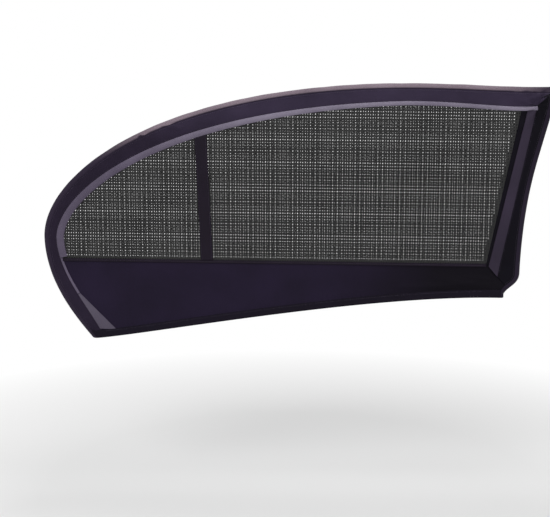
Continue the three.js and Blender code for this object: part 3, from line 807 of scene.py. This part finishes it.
def hem(name, face):
    """The gathered tunnel along the open lower edge, between the two ends of the rounded edge."""
    turn = np.linspace(0, 2 * math.pi, 21)[:-1]
    out = squared(np.sin(turn))
    up = HEM_WIDTH / 2 * (1 + squared(np.cos(turn)))
    lift = lerp(-HEM_SINK, HEM_RISE, (1 + out) / 2)
    line, = evenly([np.concatenate([hem_line[:1] - [[0.03, 0]], hem_line, hem_line[-1:] + [[0.03, 0]]])], 900)
    rows = [line + [0, u] for u in up]
    seam_left = outer_run + inward_run * EDGE_RADIUS
    seam_right = (side_outer + side_inward * EDGE_RADIUS)[::-1]
    low_left = seam_left[seam_left[:, 1] < 0.08]
    low_right = seam_right[seam_right[:, 1] < 0.14]
    low_right = np.concatenate([[low_right[0] - [0.012, 0.02]], low_right])
    starts = [row[:, 0] - np.interp(row[:, 1], low_left[:, 1], low_left[:, 0]) for row in rows]
    ends = [np.interp(row[:, 1], low_right[:, 1], low_right[:, 0]) - row[:, 0] for row in rows]
    grid = trimmed(rows, starts, ends, 420)
    x, z = grid[..., 0], grid[..., 1]
    gathered = ripples(x, z * 0, 37, 0.010, 0.00025, 90, 0.4) * np.maximum(0, out)[:, None]
    points = on_wall(face, grid, lift[:, None] + gathered)
    return cloth(name, points, (0, 0, -1), thickness=0, ring=True)


def make_hems():
    front = dress(hem("front_hem", CABIN), "hem_cloth", hem_cloth, "front_hem_casing")
    back = dress(hem("back_hem", STREET), "hem_cloth", hem_cloth, "back_hem_casing")


# Flat tapes, strap and patch

def flat_tape(name, first, second, lift, rows=5):
    grid = np.array([lerp(first, second, f) for f in np.linspace(0, 1, rows)])
    return cloth(name, on_wall(CABIN, grid, lift), (0, -1, 0), thickness=TAPE)


def belt_line(drop):
    """A line along the belt seam, from the lower strip to the right side."""
    edge = inner + inward * STRIP_WIDTH
    low = edge[edge[:, 1] < BELLY[1]]
    x = np.linspace(np.interp(BELT_LEFT[1], low[:, 1], low[:, 0]), BELT_RIGHT[0], 420)
    return np.stack([x, belt_height(x) - drop], axis=1)


def strap_column(offset, count=160):
    """A line along the strap, from the belt seam to the foot of the trim."""
    trim_edge, direction, width = trim_lines()
    foot = (trim_edge + direction * width[:, None])[trim_edge[:, 1] > BELLY[1] + 0.02]
    f = np.linspace(0, 1, count)
    x = STRAP_X[1] + offset + np.zeros(count)
    for _ in range(12):
        z = lerp(belt_height(x), np.interp(x[-1], foot[:, 0], foot[:, 1]), f)
        x = lerp(STRAP_X[1], STRAP_X[0], (z - z[0]) / (STRAP_TOP - z[0])) + offset
    return np.stack([x, z], axis=1)


def above_tunnel(x):
    return hem_height(x) + HEM_WIDTH + HEM_RISE


def patch_edges(count=60):
    """The two long edges of the corner patch, from its apex down to the hem."""
    below = inner_run[:, 1] < PATCH_APEX_HEIGHT
    left_edge = inner_run[below]
    left_edge = left_edge[left_edge[:, 1] > above_tunnel(left_edge[:, 0])][::-1]
    foot = inner[0] + [PATCH_FOOT_WIDTH, 0]
    apex = left_edge[0] + inward_run[below][-1] * STRIP_WIDTH
    left_edge, = evenly([left_edge], count)
    slope = (foot - apex) / (foot[1] - apex[1])
    heights = np.linspace(apex[1], above_tunnel(apex[0] + 0.03), count)
    return left_edge, apex + slope * (heights - apex[1])[:, None]


def make_tapes():
    belt = dress(flat_tape("belt_tape", belt_line(0), belt_line(BELT_TAPE_WIDTH), 0.0012),
                 "strap_tape", strap_cloth, "belt_seam_tape")
    columns = [strap_column(offset) for offset in np.linspace(-STRAP_WIDTH / 2, STRAP_WIDTH / 2, 9)]
    strap = dress(cloth("strap", on_wall(CABIN, np.array(columns), 0.0021), (0, -1, 0), thickness=TAPE),
                  "strap_tape", strap_cloth, "divider_strap")
    low = (inner[:, 1] < belt_height(inner[:, 0])) & (inner[:, 1] > PATCH_APEX_HEIGHT)
    strip = dress(flat_tape("strip", inner[low], (inner + inward * STRIP_WIDTH)[low], 0.0011),
                  "trim_tape", trim_cloth, "lower_trim_strip")
    patch = dress(flat_tape("corner_patch", *patch_edges(), 0.0011, 12),
                  "patch_cloth", patch_cloth, "lower_corner_patch")


# Stitches

def stitch_corners(face, line, lift):
    """The six corners of each stitch along a line: both tips, and four round its middle."""
    length = np.linalg.norm(np.diff(line, axis=0), axis=1).sum()
    count = int(length / STITCH_PITCH)
    fine, = evenly([np.asarray(line, float)], 2 * count + 1)
    world = on_wall(face, fine, lift)
    middle = world[1::2]
    ahead = world[2::2] - world[:-2:2]
    ahead /= np.linalg.norm(ahead, axis=1)[:, None]
    out = np.tile([0.0, float(face), 0.0], (count, 1))
    across = np.cross(ahead, out)
    return np.stack([
        middle - ahead * STITCH_LENGTH / 2, middle + across * STITCH_WIDTH / 2, middle + out * STITCH_RISE,
        middle - across * STITCH_WIDTH / 2, middle - out * STITCH_RISE, middle + ahead * STITCH_LENGTH / 2,
    ], axis=1)


def stitches(name, slot, material, *rows):
    """Rows of stitches. A row is its face, its line in the window plane and its lift off the wall."""
    points = []
    faces = []
    for face, line, lift in rows:
        corners = stitch_corners(face, line, lift)
        for k in range(len(corners)):
            first = len(points) + 6 * k
            for i in range(4):
                a = first + 1 + i
                b = first + 1 + (i + 1) % 4
                sides = [(first, b, a), (first + 5, a, b)]
                faces += [side if face == CABIN else side[::-1] for side in sides]
        points.extend(corners.reshape(-1, 3).tolist())
    return dress(make_mesh(name, points, faces), slot, material)


def thread(name, dark, light):
    material, tree, bsdf = shader(name)
    where = tree.nodes.new("ShaderNodeTexCoord").outputs["Object"]
    color = ramp(tree, noise(tree, where, 300, 2), [(0.3, rgb(dark)), (0.8, rgb(light))])
    tree.links.new(color, bsdf.inputs["Base Color"])
    bsdf.inputs["Roughness"].default_value = 0.55
    return material


def face_seams(face):
    """The rows of stitches that one face has: beside the trims and along the rounded edge."""
    beside_trim = (inner - trim_in * 0.0016)[inner[:, 1] > BELT_LEFT[1]]
    heights = np.linspace(trim_corner[1] - 0.004, 0.135, 200)
    beside_side_trim = np.stack([side_trim_x(heights) + 0.0018, heights], axis=1)
    edge_seam = outer_run + inward_run * (EDGE_RADIUS + SEAM_INSET)
    edge_seam = edge_seam[above_hem(edge_seam) > HEM_WIDTH + 0.004][:-20]
    side_seam = (side_outer + side_inward * (EDGE_RADIUS + SEAM_INSET))[25:]
    side_seam = side_seam[above_diagonal(side_seam) > 0.001]
    return ((face, beside_trim, 0.0003), (face, beside_side_trim, 0.0005),
            (face, edge_seam, 0.0003), (face, side_seam, 0.0004))


def make_stitches():
    dark_thread = thread("dark_thread", "2a2233", "4c4358")
    stitches("border_stitches", "border_cloth", dark_thread, *face_seams(CABIN))
    stitches("street_stitches", "street_cloth", dark_thread, *face_seams(STREET))
    hem_row = hem_line[25:-22] + [0, HEM_WIDTH * 0.80]
    stitches("hem_stitches", "hem_cloth", dark_thread,
             (CABIN, hem_row, HEM_RISE * 0.93), (STREET, hem_row, HEM_RISE * 0.93))
    strap_inset = STRAP_WIDTH / 2 - 0.002
    stitches("tape_stitches", "strap_tape", dark_thread,
             (CABIN, strap_column(-strap_inset), 0.0022), (CABIN, strap_column(strap_inset), 0.0022),
             (CABIN, belt_line(BELT_TAPE_WIDTH / 2)[4:-4], 0.0013))
    _, patch_right = patch_edges()
    stitches("patch_stitches", "patch_cloth", dark_thread, (CABIN, (patch_right - [0.002, 0])[4:-4], 0.0012))


# Elastic inside the hem

def dress_elastics():
    for node in ("front_hem_elastic", "back_hem_elastic"):
        band = bpy.data.objects[node]
        band.data.materials.clear()
        band.data.materials.append(elastic_cloth)


# Studio: floor, white surroundings, soft lamps and camera

def seen_directly(tree):
    """1 for rays from the camera, mirror rays and rays let through, and 0 for the rest."""
    path = tree.nodes.new("ShaderNodeLightPath")
    seen = math_node(tree, "MAXIMUM", path.outputs["Is Camera Ray"], path.outputs["Is Glossy Ray"])
    return math_node(tree, "MAXIMUM", seen, path.outputs["Is Transmission Ray"])


def floor():
    """A pale floor that goes over to white away from the shade."""
    material, tree, bsdf = shader("floor")
    bsdf.inputs["Base Color"].default_value = (0.82, 0.82, 0.82, 1)
    bsdf.inputs["Roughness"].default_value = 0.9
    distance = tree.nodes.new("ShaderNodeVectorMath")
    distance.operation = "LENGTH"
    tree.links.new(tree.nodes.new("ShaderNodeTexCoord").outputs["Object"], distance.inputs[0])
    far = ramp(tree, math_node(tree, "MULTIPLY", distance.outputs["Value"], 0.5),
               [(0.25, (0, 0, 0, 1)), (0.6, (1, 1, 1, 1))])
    white = tree.nodes.new("ShaderNodeEmission")
    white.inputs["Color"].default_value = (1, 1, 1, 1)
    mix = tree.nodes.new("ShaderNodeMixShader")
    tree.links.new(math_node(tree, "MULTIPLY", far, seen_directly(tree)), mix.inputs[0])
    tree.links.new(bsdf.outputs[0], mix.inputs[1])
    tree.links.new(white.outputs[0], mix.inputs[2])
    tree.links.new(mix.outputs[0], tree.nodes["Material Output"].inputs["Surface"])
    half = FLOOR_SIZE / 2
    corners = [(-half, -half, 0), (half, -half, 0), (half, half, 0), (-half, half, 0)]
    obj = make_mesh("floor", corners, [(0, 1, 2, 3)])
    obj.location.z = FLOOR_HEIGHT
    obj.data.materials.append(material)


def surroundings(ambient):
    """White where it is seen, and dimmer as a light."""
    world = bpy.data.worlds.new("studio")
    bpy.context.scene.world = world
    world.use_nodes = True
    tree = world.node_tree
    background = tree.nodes["Background"]
    more = math_node(tree, "MULTIPLY", seen_directly(tree), 1 - ambient)
    tree.links.new(math_node(tree, "ADD", ambient, more), background.inputs["Strength"])
    background.inputs["Color"].default_value = (1, 1, 1, 1)


def lamp(name, place, target, size, power):
    data = bpy.data.lights.new(name, "AREA")
    data.shape = "RECTANGLE"
    data.size, data.size_y = size
    data.energy = power
    obj = bpy.data.objects.new(name, data)
    bpy.context.scene.collection.objects.link(obj)
    obj.location = place
    obj.rotation_mode = "QUATERNION"
    obj.rotation_quaternion = (Vector(target) - Vector(place)).to_track_quat("-Z", "Y")


def camera():
    """Looks at the cabin side from a little above, with the shade up and to the right of the middle."""
    data = bpy.data.cameras.new("camera")
    data.sensor_width = SENSOR
    data.lens = LENS
    obj = bpy.data.objects.new("camera", data)
    bpy.context.scene.collection.objects.link(obj)
    focal = LENS / SENSOR * PICTURE[0]
    sideways = math.atan((SHOWN_AT[0] - PICTURE[0] / 2) / focal)
    upwards = math.atan((PICTURE[1] / 2 - SHOWN_AT[1]) / focal)
    away = Vector((0, -math.cos(ELEVATION), math.sin(ELEVATION)))
    obj.location = Vector(AIM) + METRES_PER_PIXEL * focal * away
    look = Vector((-math.sin(sideways), math.cos(ELEVATION + upwards), -math.sin(ELEVATION + upwards)))
    obj.rotation_mode = "QUATERNION"
    obj.rotation_quaternion = look.to_track_quat("-Z", "Y")
    bpy.context.scene.camera = obj


def make_studio():
    floor()
    surroundings(0.55)
    lamp("key", (-1.4, -1.8, 1.9), (0, 0, 0.25), (1.4, 1.2), 26)
    lamp("fill", (1.3, -2.0, 0.6), (0, 0, 0.2), (1.6, 1.4), 9)
    lamp("above", (0.2, 0.1, 1.7), (0, 0, 0.25), (1.4, 0.7), 12)
    camera()
    bpy.context.scene.view_settings.view_transform = "Standard"


front_net = make_nets()
make_border()
make_side_bands()
make_edges()
make_trims()
front_skirt = make_skirts()
make_hems()
make_tapes()
make_stitches()
dress_elastics()
make_studio()
